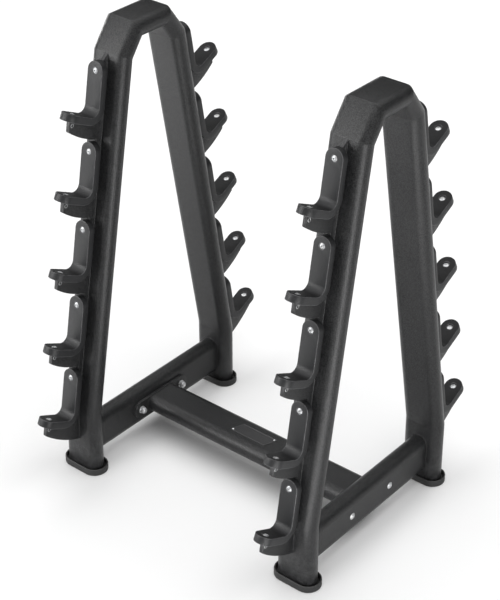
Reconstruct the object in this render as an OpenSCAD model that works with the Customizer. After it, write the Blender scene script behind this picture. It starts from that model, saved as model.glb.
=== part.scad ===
// Two-sided storage rack for ten fixed barbells: two A-frames of flat oval tube,
// a bolted spreader beam and twenty moulded J-hooks, five on each leg.
// Millimetres. X runs along the stored bars, Y from front to rear, Z up from the floor.

/* [Frame] */
// Distance between the centre planes of the two A-frames
frame_spacing = 816; // [600:1:1100]
// Height of the rack over the top tubes
overall_height = 1387; // [1340:1:1600]
// Distance of a foot tube's centre line from the middle of the rack
foot_y = 302; // [260:1:380]
// Height where the upright foot tube meets the sloping leg
ankle_z = 205; // [190:1:225]
// Distance of the shoulder joint from the middle of the rack
shoulder_y = 108; // [95:1:130]
// Height of the shoulder joint between the leg and the steep top piece
shoulder_z = 1292; // [1275:1:1300]
// Distance of the top corner joint from the middle of the rack
top_corner_y = 58; // [45:1:70]

/* [Tube] */
// Long side of the flat oval tube
tube_w = 125; // [110:1:130]
// Short side of the flat oval tube
tube_t = 55; // [50:1:60]
// Wall of the tube
tube_wall = 3; // [2:0.5:4]

/* [Feet] */
// How far the rubber foot stands out round the tube
cap_grow = 12; // [8:0.5:16]
// Height of the rubber foot
cap_h = 20.5; // [16:0.5:30]
// Thickness of the sole under the tube
cap_sole = 6; // [4:0.5:10]
// Thickness of the outer rim
cap_rim = 4; // [2.5:0.5:6]
// Height of the plug inside the tube, measured from the sole
cap_plug_h = 26; // [15:1:40]
// Wall of the plug
cap_plug_wall = 4; // [3:0.5:6]
// Gap between the plug and the inside of the tube
cap_plug_gap = 0.3; // [0.1:0.1:0.6]

/* [Crossbars and beam] */
// Height of the crossbars and the spreader beam over the floor, at their centre
beam_z = 100; // [90:1:115]
// Distance of each beam bolt from the middle of the beam
bolt_y = 90; // [84:1:100]
// Height of the beam's end plates
end_plate_h = 56; // [50:1:60]
// Thickness of the end plates
end_plate_t = 8; // [5:0.5:12]

/* [Hooks] */
// Hooks on one leg
hook_count = 5; // [3:1:5]
// Distance between neighbouring hooks along the leg
hook_pitch = 235; // [222:1:235]
// Distance of the first strap screw below the shoulder joint, along the leg
first_screw_drop = 39; // [34:1:46]
// Width of a moulded hook
hook_w = 55; // [44:1:64]
// Thickness of a moulded hook
hook_t = 22; // [17:0.5:24]
// Distance from the strap screw down to the corner of the hook's inner faces
hook_depth = 131.5; // [120:0.5:138]
// Distance from that corner to the tongue screw, along the tongue
tongue_reach = 83; // [70:0.5:90]
// Angle by which the tongue rises from square to the leg
tongue_rise = 16; // [8:0.5:20]
// Radius of the hook's inner bend
bend_r = 22; // [16:0.5:28]

/* [Hook plates] */
// Thickness of the plate that carries the hooks of one leg
web_t = 12; // [10:0.5:16]
// Distance from the leg's flat to the back of the straps
web_reach = 19; // [14:0.5:24]
// How far the plate's top point stands above the first strap screw
web_top = 44; // [38:1:50]
// Drop of the plate's sloping top edge between the leg and the straps
web_top_slope = 20; // [8:1:24]
// Depth of a plate's nose below the tongue, along the leg
nose_h = 33; // [26:0.5:36]
// How far the nose stands out past the tongue screw
nose_reach = 10.5; // [9:0.5:16]
// Radius of the nose's lower corner
nose_r = 5; // [3:0.5:8]
// Distance of a tooth's lower root from its strap screw, along the leg
root_drop = 203.5; // [194:0.5:206]
// Distance of the lowest tooth's end from its strap screw, along the leg
tail_drop = 222; // [208:0.5:230]
// How much the lower edge of a tooth bulges from a straight line
tooth_bulge = 8; // [1:0.5:9]

/* [Hook screws] */
// Thread diameter of the hook screws
screw_d = 8; // [6:0.5:8]
// Length of a strap screw under its head
strap_screw_l = 35; // [30:1:36]
// Length of a tongue screw under its head
tongue_screw_l = 34; // [32:1:35]
// Diameter of the hook screws' heads
screw_head_d = 17.5; // [13:0.5:18]
// Height of the hook screws' heads
screw_head_h = 4.4; // [3:0.2:6]
// Socket of the hook screws, across its flats
screw_socket = 5; // [4:0.5:6]
// Depth of the round seat in the strap
seat_depth = 1.5; // [0.5:0.5:3]
// Depth of the round seat in the sloping tongue, at the screw's axis
tongue_seat_depth = 2.8; // [2.8:0.1:4]
// Gap round a screw's head in its seat
seat_gap = 0.9; // [0.5:0.1:1]
// Diameter of the barrel nut that each tongue screw runs into
barrel_d = 12; // [11:0.5:13]
// Distance of the barrel nut's axis below the tongue
barrel_drop = 10.8; // [9.6:0.2:12]
// How far a barrel nut stands out on each side of the plate
barrel_past = 1; // [0.5:0.1:1.5]
// Diameter of the dimple in each end of a barrel nut
barrel_dimple_d = 6; // [4:0.5:7]

/* [Beam bolts] */
// Thread diameter of the beam bolts
bolt_d = 12; // [8:1:14]
// Diameter of the beam bolts' heads
bolt_head_d = 21; // [18:0.5:24]
// Height of the beam bolts' heads
bolt_head_h = 6.6; // [4:0.2:8]
// Socket of the beam bolts, across its flats
bolt_socket = 8; // [6:0.5:10]
// Beam bolt nuts, across their flats
nut_af = 18; // [17:0.5:20]
// Height of the beam bolt nuts
nut_h = 10.8; // [8:0.2:12]
// Diameter of the washers
washer_d = 24; // [21:0.5:27]
// Thickness of the washers
washer_t = 2.5; // [1:0.5:3]
// Length of bolt past the nut
bolt_past = 3; // [1:0.5:6]

/* [Badge plate] */
// Length of the blank plate on the beam
badge_l = 130; // [90:1:160]
// Width of the blank plate
badge_w = 45; // [30:1:50]
// Shift between the blank plate's front and rear edges
badge_slant = 17; // [4:1:24]
// Thickness of the blank plate
badge_t = 1.5; // [1:0.1:3]
// Corner radius of the blank plate
badge_r = 2.5; // [1:0.5:4]
// Diameter of the rivet heads
rivet_d = 6; // [4:0.5:8]
// Height of the rivet heads
rivet_h = 1.6; // [1:0.1:3]
// Distance of each rivet from the blank plate's edges
rivet_inset = 5.5; // [4:0.5:10]

/* [Hidden] */
$fn = 64;
fine = 96;

// Finishes
powder_black = [0.20, 0.20, 0.21];
moulded_black = [0.13, 0.13, 0.14];
rubber_black = [0.09, 0.09, 0.09];
zinc = [0.80, 0.81, 0.82];
badge_black = [0.06, 0.06, 0.06];

// Sides and ends of the rack
LEFT = -1;
RIGHT = 1;
FRONT = -1;
REAR = 1;

// Small gaps: screws in their threads, bolts in their holes, cutters past a face
thread_gap = 0.1;
hole_gap = 0.5;
past = 1;

// Depth of a screw's socket as a share of its head's height, and depth of a barrel nut's dimples
socket_share = 0.6;
dimple_depth = 1.5;

// Steps along the hook plates' curved edges and round the badge's corners
corner_steps = 6;
edge_steps = 12;
badge_steps = 3;

// Length that is longer than any tube, and half-spaces built from it
far_off = 4 * overall_height;

// Centre line of the A-frame in the YZ plane, rear half
top_z = overall_height - tube_t / 2;
leg_tilt = atan2(foot_y - shoulder_y, shoulder_z - ankle_z);
shoulder_tilt = atan2(shoulder_y - top_corner_y, top_z - shoulder_z);
foot_tilt = 0;
top_tilt = 90;

// The leg's flat in hook coordinates: u runs down the leg from the shoulder, n outwards from the flat
leg_length = norm([foot_y - shoulder_y, shoulder_z - ankle_z]);
ankle_u = leg_length + tube_t / 2 * tan(leg_tilt / 2);

// Hook outline, measured from the strap screw
strap_face = web_reach + hook_t;
bend_turn = 90 + tongue_rise;
bend_tangent = bend_r * tan(bend_turn / 2);
bend_u = hook_depth - bend_tangent;
bend_n = strap_face + bend_r;
bend_outer_r = bend_r + hook_t;

// Point on the tongue's upper face at a distance t from the inner corner, and below that face by d
function tongue_u(t, d) = hook_depth - t * sin(tongue_rise) + d * cos(tongue_rise);
function tongue_n(t, d) = strap_face + t * cos(tongue_rise) + d * sin(tongue_rise);

// Tooth of the hook plate, measured from the strap screw
nose_n = tongue_n(tongue_reach, 0) + nose_reach;
nose_t = (nose_n - strap_face - hook_t * sin(tongue_rise)) / cos(tongue_rise);
nose_top_u = tongue_u(nose_t, hook_t);
nose_u = nose_top_u + nose_h;

// Points on an arc from a to b that bulges by h to the left of the way
function bulged(a, b, h, steps) =
    let (c = norm(b - a), r = (c * c / 4 + h * h) / (2 * h), half = asin(c / 2 / r),
         dir = (b - a) / c, left = [-dir[1], dir[0]], mid = (a + b) / 2, centre = mid - left * (r - h))
    [for (i = [0 : steps]) let (g = -half + 2 * half * i / steps)
        centre + r * (left * cos(g) + dir * sin(g))];

// Points round a corner at p between the ways from a and to b, with radius r
function rounded(a, p, b, r, steps) =
    let (u = (a - p) / norm(a - p), w = (b - p) / norm(b - p), half = acos(u * w) / 2,
         reach = r / tan(half), centre = p + (u + w) / norm(u + w) * r / sin(half),
         start = p + u * reach - centre, finish = p + w * reach - centre,
         turn = 180 - 2 * half, side = sign(start[0] * finish[1] - start[1] * finish[0]))
    [for (i = [0 : steps]) let (g = side * turn * i / steps)
        centre + [start[0] * cos(g) - start[1] * sin(g), start[0] * sin(g) + start[1] * cos(g)]];

// Flat oval with its long side along the first axis
module flat_oval(w, t) {
    square([w - t, t], center = true);
    for (side = [-1, 1])
        translate([side * (w - t) / 2, 0]) circle(d = t);
}

module tube_section() {
    difference() {
        flat_oval(tube_w, tube_t);
        flat_oval(tube_w - 2 * tube_wall, tube_t - 2 * tube_wall);
    }
}

// Everything below the plane through p = [y, z] that is tilted by the angle a
module below(p, a) {
    translate([0, p[0], p[1]]) rotate([a, 0, 0])
        translate([-far_off, -far_off, -2 * far_off]) cube(2 * far_off);
}

module above(p, a) {
    translate([0, p[0], p[1]]) rotate([a, 0, 0])
        translate([-far_off, -far_off, 0]) cube(2 * far_off);
}

// Tube along the centre line from p to q, mitred to neighbours that are tilted by below_a and above_a
module tube_run(p, q, below_a, above_a) {
    tilt = atan2(p[0] - q[0], q[1] - p[1]);
    run = norm(q - p);
    difference() {
        translate([0, p[0], p[1]]) rotate([tilt, 0, 0])
            translate([0, 0, -tube_w]) linear_extrude(run + 2 * tube_w) tube_section();
        below(p, (below_a + tilt) / 2);
        above(q, (above_a + tilt) / 2);
    }
}

// Puts a rear, right-hand shape at its side and end of the rack
module at_end(side, end) {
    translate([side * frame_spacing / 2, 0, 0]) mirror([0, end == FRONT ? 1 : 0, 0]) children();
}

// Leg coordinates: X across the leg, Y out from the leg's flat, Z up the leg from the shoulder joint
module on_leg(side, end) {
    at_end(side, end) translate([0, shoulder_y, shoulder_z]) rotate([leg_tilt, 0, 0])
        translate([0, tube_t / 2, 0]) children();
}

// Coordinates of hook number i: the strap screw's axis runs out along Y
module at_hook(side, end, i) {
    on_leg(side, end) translate([0, 0, -first_screw_drop - (i - 1) * hook_pitch]) children();
}

// Turns an outline of [n, -u] points into a plate of thickness t across the leg
module across(t) {
    rotate([90, 0, 90]) translate([0, 0, -t / 2]) linear_extrude(t) children();
}

module foot_tube(side, end) {
    color(powder_black) at_end(side, end)
        tube_run([foot_y, cap_sole], [foot_y, ankle_z], foot_tilt, leg_tilt);
}

module leg_tube(side, end) {
    color(powder_black) at_end(side, end)
        tube_run([foot_y, ankle_z], [shoulder_y, shoulder_z], foot_tilt, shoulder_tilt);
}

module shoulder_tube(side, end) {
    color(powder_black) at_end(side, end)
        tube_run([shoulder_y, shoulder_z], [top_corner_y, top_z], leg_tilt, top_tilt);
}

module top_tube(side) {
    color(powder_black) at_end(side, REAR)
        tube_run([top_corner_y, top_z], [-top_corner_y, top_z], shoulder_tilt, 180 - shoulder_tilt);
}

// Rubber foot: sole, outer rim with a groove behind it, and a plug inside the tube
module foot(side, end) {
    plug_w = tube_w - 2 * tube_wall - 2 * cap_plug_gap;
    plug_t = tube_t - 2 * tube_wall - 2 * cap_plug_gap;
    color(rubber_black) at_end(side, end) translate([0, foot_y, 0]) {
        linear_extrude(cap_sole) flat_oval(tube_w + 2 * cap_grow, tube_t + 2 * cap_grow);
        linear_extrude(cap_h) difference() {
            flat_oval(tube_w + 2 * cap_grow, tube_t + 2 * cap_grow);
            flat_oval(tube_w + 2 * cap_grow - 2 * cap_rim, tube_t + 2 * cap_grow - 2 * cap_rim);
        }
        linear_extrude(cap_sole + cap_plug_h) difference() {
            flat_oval(plug_w, plug_t);
            flat_oval(plug_w - 2 * cap_plug_wall, plug_t - 2 * cap_plug_wall);
        }
    }
}

// The four bolt places, with X running outwards from the crossbar's centre plane
module at_bolts(side) {
    for (y = [-bolt_y, bolt_y])
        translate([side * frame_spacing / 2, y, beam_z]) rotate([0, side * 90, 0]) children();
}

module crossbar(side) {
    run = 2 * (foot_y - tube_t / 2);
    color(powder_black) difference() {
        translate([side * frame_spacing / 2, 0, beam_z]) rotate([90, 0, 0]) rotate([0, 0, 90])
            translate([0, 0, -run / 2]) linear_extrude(run) tube_section();
        at_bolts(side) translate([0, 0, -tube_t]) cylinder(h = 2 * tube_t, d = bolt_d + 2 * hole_gap);
    }
}

module end_plate(side) {
    plate_w = 2 * bolt_y + end_plate_h;
    color(powder_black) difference() {
        translate([side * (frame_spacing / 2 - tube_t / 2 - end_plate_t), 0, beam_z])
            rotate([0, side * 90, 0]) rotate([0, 0, 90]) linear_extrude(end_plate_t)
                flat_oval(plate_w, end_plate_h);
        at_bolts(side) translate([0, 0, -2 * tube_t])
            cylinder(h = 2 * tube_t, d = bolt_d + 2 * hole_gap);
    }
}

module spreader_beam() {
    run = frame_spacing - tube_t - 2 * end_plate_t;
    color(powder_black) translate([-run / 2, 0, beam_z]) rotate([0, 90, 0]) rotate([0, 0, 90])
        linear_extrude(run) tube_section();
}

// Outline of one tooth as [n, -u] points, with u measured from its strap screw; root is the end of
// its curved lower edge and heel_u the place where the plate leaves the leg's flat
function tooth_outline(root, heel_u) =
    let (nose_edge = rounded([nose_n, -nose_top_u], [nose_n, -nose_u], root, nose_r, corner_steps),
         under = bulged(nose_edge[corner_steps], root, tooth_bulge, edge_steps))
    concat([[0, -bend_u], [web_reach, -bend_u], [nose_n, -bend_u]], nose_edge,
           [for (i = [1 : edge_steps]) under[i]], [[0, -heel_u]]);

// Side view of the space over a hook's outer surface, or over its surface moved inwards by inset
module hook_space(inset, far) {
    translate([web_reach + inset, -bend_u]) square([far, bend_u + far]);
    translate([bend_n, -bend_u]) circle(r = bend_outer_r - inset, $fn = fine);
    translate([strap_face, -hook_depth]) rotate(tongue_rise)
        translate([bend_tangent, inset - hook_t])
            square([2 * tongue_reach + inset, bend_tangent + hook_t - inset]);
}

// Plate with one tooth for each hook, welded along the leg's flat
module hook_plate(side, end) {
    last = hook_count - 1;
    ankle_drop = ankle_u - first_screw_drop - last * hook_pitch;
    over = max(tail_drop - ankle_drop, 0);
    tail = [-over * sin(leg_tilt), -tail_drop + over * (1 - cos(leg_tilt))];
    color(powder_black) difference() {
        on_leg(side, end) across(web_t) {
            translate([0, -first_screw_drop]) polygon([
                [0, web_top], [web_reach, web_top - web_top_slope],
                [web_reach, -last * hook_pitch - bend_u], [0, -last * hook_pitch - bend_u]]);
            for (i = [0 : last]) translate([0, -first_screw_drop - i * hook_pitch]) difference() {
                polygon(i == last ? tooth_outline(tail, min(ankle_drop, tail_drop - past))
                                  : tooth_outline([0, -root_drop], root_drop - past));
                hook_space(0, hook_depth);
            }
        }
        for (i = [1 : hook_count]) at_hook(side, end, i) {
            strap_axis(seat_depth) cylinder(h = strap_screw_l + past, d = screw_d + 2 * thread_gap);
            screw_axis(tongue_seat_depth) cylinder(h = tongue_screw_l + past, d = screw_d + 2 * hole_gap);
            barrel_axis() cylinder(h = 2 * web_t, d = barrel_d + 2 * thread_gap, center = true);
        }
    }
}

// Axis of the strap screw at a depth d below the strap's face, running into the hook
module strap_axis(d) {
    translate([0, strap_face - d, 0]) rotate([90, 0, 0]) children();
}

// Square to the tongue at its screw, at a depth d below the upper face, running into the hook
module tongue_axis(d) {
    translate([0, tongue_n(tongue_reach, d), -tongue_u(tongue_reach, d)])
        rotate([180 + tongue_rise, 0, 0]) children();
}

// Axis of the tongue screw, along the leg, at a depth d below the tongue's upper face
module screw_axis(d) {
    translate([0, tongue_n(tongue_reach, 0), -tongue_u(tongue_reach, 0) - d])
        rotate([180, 0, 0]) children();
}

// Axis of the barrel nut, across the plate
module barrel_axis() {
    screw_axis(hook_t / cos(tongue_rise) + barrel_drop) rotate([0, 90, 0]) children();
}

// Outline of a round-ended strip that runs from its end's centre along -Y or, with way = 1, along +Y
module strip(run, way) {
    circle(d = hook_w);
    translate([-hook_w / 2 - past, way < 0 ? -run : 0]) square([hook_w + 2 * past, run]);
}

// Moulded J-hook: strap with a round top, bend, and tongue with a round tip
module hook(side, end, i) {
    bore_d = screw_d + 2 * hole_gap;
    seat_d = screw_head_d + 2 * seat_gap;
    color(moulded_black) at_hook(side, end, i) difference() {
        intersection() {
            across(hook_w) difference() {
                hook_space(0, hook_depth);
                hook_space(hook_t, 2 * hook_depth);
            }
            union() {
                strap_axis(-bend_r) linear_extrude(bend_r + hook_t + past) strip(2 * hook_depth, -1);
                tongue_axis(-bend_r) linear_extrude(bend_r + hook_t + past) strip(tongue_reach, 1);
            }
        }
        strap_axis(-past) cylinder(h = hook_t + 2 * past, d = bore_d);
        strap_axis(-past) cylinder(h = seat_depth + past, d = seat_d);
        screw_axis(-past) cylinder(h = 2 * hook_t, d = bore_d);
        screw_axis(-hook_t / 2) cylinder(h = hook_t / 2 + tongue_seat_depth, d = seat_d);
    }
}

// Domed head with a hexagon socket on a plain shank; the head's seat is at z = 0, the shank below
module button_screw(shank_d, shank_l, head_d, head_h, socket) {
    dome_r = (head_d * head_d / 4 + head_h * head_h) / (2 * head_h);
    difference() {
        union() {
            translate([0, 0, -shank_l]) cylinder(h = shank_l, d = shank_d);
            intersection() {
                translate([0, 0, head_h - dome_r]) sphere(r = dome_r, $fn = fine);
                cylinder(h = head_h, d = head_d);
            }
        }
        translate([0, 0, head_h * (1 - socket_share)])
            cylinder(h = head_h, d = socket / cos(30), $fn = 6);
    }
}

module every_hook() {
    for (side = [LEFT, RIGHT], end = [FRONT, REAR], i = [1 : hook_count])
        at_hook(side, end, i) children();
}

module strap_screws() {
    color(zinc) every_hook() strap_axis(seat_depth) rotate([180, 0, 0])
        button_screw(screw_d, strap_screw_l, screw_head_d, screw_head_h, screw_socket);
}

module tongue_screws() {
    color(zinc) every_hook() screw_axis(tongue_seat_depth) rotate([180, 0, 0])
        button_screw(screw_d, tongue_screw_l, screw_head_d, screw_head_h, screw_socket);
}

// Barrel nuts across the plates' noses, threaded for the tongue screws and dimpled at both ends
module barrel_nuts() {
    run = web_t + 2 * barrel_past;
    color(zinc) every_hook() difference() {
        barrel_axis() cylinder(h = run, d = barrel_d, center = true);
        for (way = [-1, 1]) barrel_axis() translate([0, 0, way * run / 2])
            cylinder(h = 2 * dimple_depth, d = barrel_dimple_d, center = true);
        screw_axis(0) cylinder(h = hook_depth, d = screw_d + 2 * thread_gap);
    }
}

// Bolts run inwards through a crossbar and an end plate to a washer and a nut
module beam_bolts() {
    shank_l = tube_t + end_plate_t + washer_t + nut_h + bolt_past;
    color(zinc) for (side = [LEFT, RIGHT]) at_bolts(side) translate([0, 0, tube_t / 2])
        button_screw(bolt_d, shank_l, bolt_head_d, bolt_head_h, bolt_socket);
}

module beam_washers() {
    color(zinc) for (side = [LEFT, RIGHT]) at_bolts(side)
        translate([0, 0, -tube_t / 2 - end_plate_t - washer_t]) difference() {
            cylinder(h = washer_t, d = washer_d);
            translate([0, 0, -past]) cylinder(h = washer_t + 2 * past, d = bolt_d + 2 * hole_gap);
        }
}

module beam_nuts() {
    color(zinc) for (side = [LEFT, RIGHT]) at_bolts(side)
        translate([0, 0, -tube_t / 2 - end_plate_t - washer_t - nut_h]) difference() {
            cylinder(h = nut_h, d = nut_af / cos(30), $fn = 6);
            translate([0, 0, -past]) cylinder(h = nut_h + 2 * past, d = bolt_d + 2 * thread_gap);
        }
}

// Shape turned half round the beam's middle, so that it stands at both sharp corners of the badge
module twice() {
    for (turn = [0, 180]) rotate(turn) translate([0, 0, beam_z + tube_t / 2]) children();
}

// Point of the slanted badge, w back from its rear edge and l back from its right end
function badge_point(l, w) =
    [badge_l / 2 - l + badge_slant * (1 / 2 - w / badge_w), badge_w / 2 - w];

// Each rivet stands at the same distance from the badge's slanted end and from its long edge
module at_rivets() {
    along = rivet_inset * norm([badge_slant, badge_w]) / badge_w;
    twice() translate(badge_point(along, rivet_inset)) children();
}

module badge_plate() {
    sharp = badge_point(0, 0);
    blunt = badge_point(0, badge_w);
    corners = [sharp, blunt, -sharp, -blunt];
    color(badge_black) difference() {
        translate([0, 0, beam_z + tube_t / 2]) linear_extrude(badge_t)
            polygon([for (i = [0 : 3]) each rounded(
                corners[(i + 3) % 4], corners[i], corners[(i + 1) % 4], badge_r, badge_steps)]);
        at_rivets() translate([0, 0, -past]) cylinder(h = badge_t + 2 * past, d = rivet_d / 2);
    }
}

// Rivets with a domed head on the plate and a pin through it
module badge_rivets() {
    dome_r = (rivet_d * rivet_d / 4 + rivet_h * rivet_h) / (2 * rivet_h);
    color(zinc) at_rivets() {
        cylinder(h = badge_t, d = rivet_d / 2 - 2 * thread_gap);
        translate([0, 0, badge_t]) intersection() {
            translate([0, 0, rivet_h - dome_r]) sphere(r = dome_r);
            cylinder(h = rivet_h, d = rivet_d);
        }
    }
}

foot_tube(LEFT, FRONT);  // left_front_foot_tube
leg_tube(LEFT, FRONT);  // left_front_leg_tube
shoulder_tube(LEFT, FRONT);  // left_front_shoulder_tube
top_tube(LEFT);  // left_top_tube
shoulder_tube(LEFT, REAR);  // left_rear_shoulder_tube
leg_tube(LEFT, REAR);  // left_rear_leg_tube
foot_tube(LEFT, REAR);  // left_rear_foot_tube
foot_tube(RIGHT, FRONT);  // right_front_foot_tube
leg_tube(RIGHT, FRONT);  // right_front_leg_tube
shoulder_tube(RIGHT, FRONT);  // right_front_shoulder_tube
top_tube(RIGHT);  // right_top_tube
shoulder_tube(RIGHT, REAR);  // right_rear_shoulder_tube
leg_tube(RIGHT, REAR);  // right_rear_leg_tube
foot_tube(RIGHT, REAR);  // right_rear_foot_tube
crossbar(LEFT);  // left_crossbar
crossbar(RIGHT);  // right_crossbar
spreader_beam();
end_plate(LEFT);  // left_end_plate
end_plate(RIGHT);  // right_end_plate
foot(LEFT, FRONT);  // left_front_foot
foot(LEFT, REAR);  // left_rear_foot
foot(RIGHT, FRONT);  // right_front_foot
foot(RIGHT, REAR);  // right_rear_foot
hook_plate(LEFT, FRONT);  // left_front_hook_plate
hook_plate(LEFT, REAR);  // left_rear_hook_plate
hook_plate(RIGHT, FRONT);  // right_front_hook_plate
hook_plate(RIGHT, REAR);  // right_rear_hook_plate
hook(LEFT, FRONT, 1);  // left_front_hook_1
hook(LEFT, FRONT, 2);  // left_front_hook_2
hook(LEFT, FRONT, 3);  // left_front_hook_3
hook(LEFT, FRONT, 4);  // left_front_hook_4
hook(LEFT, FRONT, 5);  // left_front_hook_5
hook(LEFT, REAR, 1);  // left_rear_hook_1
hook(LEFT, REAR, 2);  // left_rear_hook_2
hook(LEFT, REAR, 3);  // left_rear_hook_3
hook(LEFT, REAR, 4);  // left_rear_hook_4
hook(LEFT, REAR, 5);  // left_rear_hook_5
hook(RIGHT, FRONT, 1);  // right_front_hook_1
hook(RIGHT, FRONT, 2);  // right_front_hook_2
hook(RIGHT, FRONT, 3);  // right_front_hook_3
hook(RIGHT, FRONT, 4);  // right_front_hook_4
hook(RIGHT, FRONT, 5);  // right_front_hook_5
hook(RIGHT, REAR, 1);  // right_rear_hook_1
hook(RIGHT, REAR, 2);  // right_rear_hook_2
hook(RIGHT, REAR, 3);  // right_rear_hook_3
hook(RIGHT, REAR, 4);  // right_rear_hook_4
hook(RIGHT, REAR, 5);  // right_rear_hook_5
strap_screws();
tongue_screws();
barrel_nuts();
beam_bolts();
beam_washers();
beam_nuts();
badge_plate();
badge_rivets();
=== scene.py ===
import math
import bmesh
import bpy
from mathutils import Euler, Matrix, Vector


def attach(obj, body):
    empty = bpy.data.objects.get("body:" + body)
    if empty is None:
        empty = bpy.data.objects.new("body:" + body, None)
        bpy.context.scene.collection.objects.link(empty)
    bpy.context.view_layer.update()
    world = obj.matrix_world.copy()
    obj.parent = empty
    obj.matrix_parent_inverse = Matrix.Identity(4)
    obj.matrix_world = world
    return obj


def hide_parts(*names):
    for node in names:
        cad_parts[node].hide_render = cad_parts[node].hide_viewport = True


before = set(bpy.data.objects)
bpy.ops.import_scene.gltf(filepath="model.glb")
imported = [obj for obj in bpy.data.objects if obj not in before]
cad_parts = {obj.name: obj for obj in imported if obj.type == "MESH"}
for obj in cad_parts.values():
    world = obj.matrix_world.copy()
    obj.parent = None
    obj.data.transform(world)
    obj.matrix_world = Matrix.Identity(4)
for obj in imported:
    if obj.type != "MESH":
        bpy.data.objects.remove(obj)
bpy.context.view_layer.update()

print("frame loaded:", len(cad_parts), "nodes")

rack = {
    "spacing": 0.816,  # between the centre planes of the two A-frames
    "height": 1.387,
    "footY": 0.302,
    "ankleZ": 0.205,
    "shoulderY": 0.108,
    "shoulderZ": 1.292,
    "cornerY": 0.058,
    "beamZ": 0.1,
    "boltY": 0.09,
    "tubeWide": 0.125,
    "tubeThick": 0.055,
    "plateHalf": 0.006,  # half the thickness of a hook plate
    "soleZ": 0.006,
    "hooks": 5,  # on each leg
    "hookFirst": 0.039,  # along the leg from the shoulder to the top strap screw
    "hookStep": 0.235,
}
halfTube = rack["tubeThick"] / 2
legTilt = math.atan2(rack["footY"] - rack["shoulderY"], rack["shoulderZ"] - rack["ankleZ"])
# the outer flat of a leg, at the shoulder
legFlat = Vector((0, rack["shoulderY"] + halfTube * math.cos(legTilt),
                  rack["shoulderZ"] + halfTube * math.sin(legTilt)))
sides = {"left": -1, "right": 1}
ends = ("front", "rear")


def centreX(side):
    return sides[side] * rack["spacing"] / 2


class Wire:  # a socket that takes part in sums; node() adds any other node
    def __init__(self, tree, socket=None):
        self.tree, self.socket = tree, socket

    def node(self, kind, settings=None, sockets=None, out=0):
        made = self.tree.nodes.new(kind)
        for key, value in (settings or {}).items():
            setattr(made, key, value)
        for key, value in (sockets or {}).items():
            if isinstance(key, int):
                found = made.inputs[key]
            else:
                found = next(s for s in made.inputs if key in (s.identifier, s.name))
            for item in value if isinstance(value, list) else [value]:
                if isinstance(item, Wire):
                    self.tree.links.new(item.socket, found)
                else:
                    found.default_value = item
        return Wire(self.tree, made.outputs[out] if made.outputs else None)

    def other(self, name):  # another output of the same node
        return Wire(self.tree, self.socket.node.outputs[name])

    def maths(self, operation, a, b):
        return self.node("ShaderNodeMath", {"operation": operation}, {0: a, 1: b})

    def __add__(self, b):
        return self.maths("ADD", self, b)

    def __radd__(self, b):
        return self.maths("ADD", b, self)

    def __sub__(self, b):
        return self.maths("SUBTRACT", self, b)

    def __mul__(self, b):
        return self.maths("MULTIPLY", self, b)


# finishes

def ramp(wire, low, high, a=0.0, b=1.0):  # a smooth step from a to b between low and high
    return wire.node("ShaderNodeMapRange", {"interpolation_type": "SMOOTHSTEP"},
                     {"Value": wire, "From Min": low, "From Max": high, "To Min": a, "To Max": b})


def blendTones(factor, a, b):
    a, b = (tone if isinstance(tone, Wire) else (*tone, 1) for tone in (a, b))
    sockets = {"Factor_Float": factor, "A_Color": a, "B_Color": b}
    return factor.node("ShaderNodeMix", {"data_type": "RGBA"}, sockets, out=2)


def startFinish(name):
    made = bpy.data.materials.new(name)
    made.use_nodes = True
    made.node_tree.nodes.clear()
    wire = Wire(made.node_tree)
    return made, wire, wire.node("ShaderNodeTexCoord", out=3)


def grainOf(place, scale, detail=2.0, rough=0.5, stretch=(1, 1, 1)):
    if stretch != (1, 1, 1):
        place = place.node("ShaderNodeMapping", None, {"Vector": place, "Scale": stretch})
    sockets = {"Vector": place, "Scale": scale, "Detail": detail, "Roughness": rough}
    return place.node("ShaderNodeTexNoise", None, sockets)


def markOf(wire, name):  # a mark that the mesh carries on its points
    return wire.node("ShaderNodeAttribute", {"attribute_name": name}, out=2)


def bumped(height, distance, strength=1.0, after=None):
    sockets = {"Height": height, "Distance": distance, "Strength": strength}
    if after:
        sockets["Normal"] = after
    return height.node("ShaderNodeBump", None, sockets)


def endFinish(made, wire, sockets):
    shader = wire.node("ShaderNodeBsdfPrincipled", None, sockets)
    wire.node("ShaderNodeOutputMaterial", None, {"Surface": shader})
    return made


def powderCoatFinish():
    look = {"dark": (0.0012, 0.0013, 0.0015), "light": (0.027, 0.0273, 0.028), "edgeWearAndSheen": (0.075, 0.075, 0.077),
            "cloudScale": 7.0, "cloudShare": 0.25, "grainScale": 360.0, "grainBand": (0.43, 0.58),
            "grainShare": 0.7, "grainHigh": 0.001, "peelScale": 900.0, "peelHigh": 0.0003, "chipScale": 60,
            "chipBand": (0.42, 0.62, 0.2, 0.7), "rough": 0.33, "cloudRough": 0.16, "grainRough": 0.12,
            "wornGloss": 0.1, "specular": 0.25}
    made, wire, place = startFinish("powderCoat")
    cloud = grainOf(place, look["cloudScale"], 3)
    grain = grainOf(place, look["grainScale"], 3, 0.6)  # the fine texture of the powder
    peel = grainOf(place, look["peelScale"], 1)
    # edges lightened all along: partly wear, partly a painted highlight along the rounded edges
    edgeWearAndSheen = markOf(wire, "wear") * ramp(grainOf(place, look["chipScale"], 4, 0.7), *look["chipBand"])
    speckle = cloud * look["cloudShare"] + ramp(grain, *look["grainBand"]) * look["grainShare"]
    tone = blendTones(speckle, look["dark"], look["light"])
    normal = bumped(grain, look["grainHigh"], 0.8, bumped(peel, look["peelHigh"], 0.5))
    rough = look["rough"] + (cloud - 0.5) * look["cloudRough"] + (grain - 0.5) * look["grainRough"]
    return endFinish(made, wire, {"Base Color": blendTones(edgeWearAndSheen, tone, look["edgeWearAndSheen"]), "Normal": normal,
                                  "Roughness": rough - edgeWearAndSheen * look["wornGloss"],
                                  "Specular IOR Level": look["specular"]})


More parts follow.
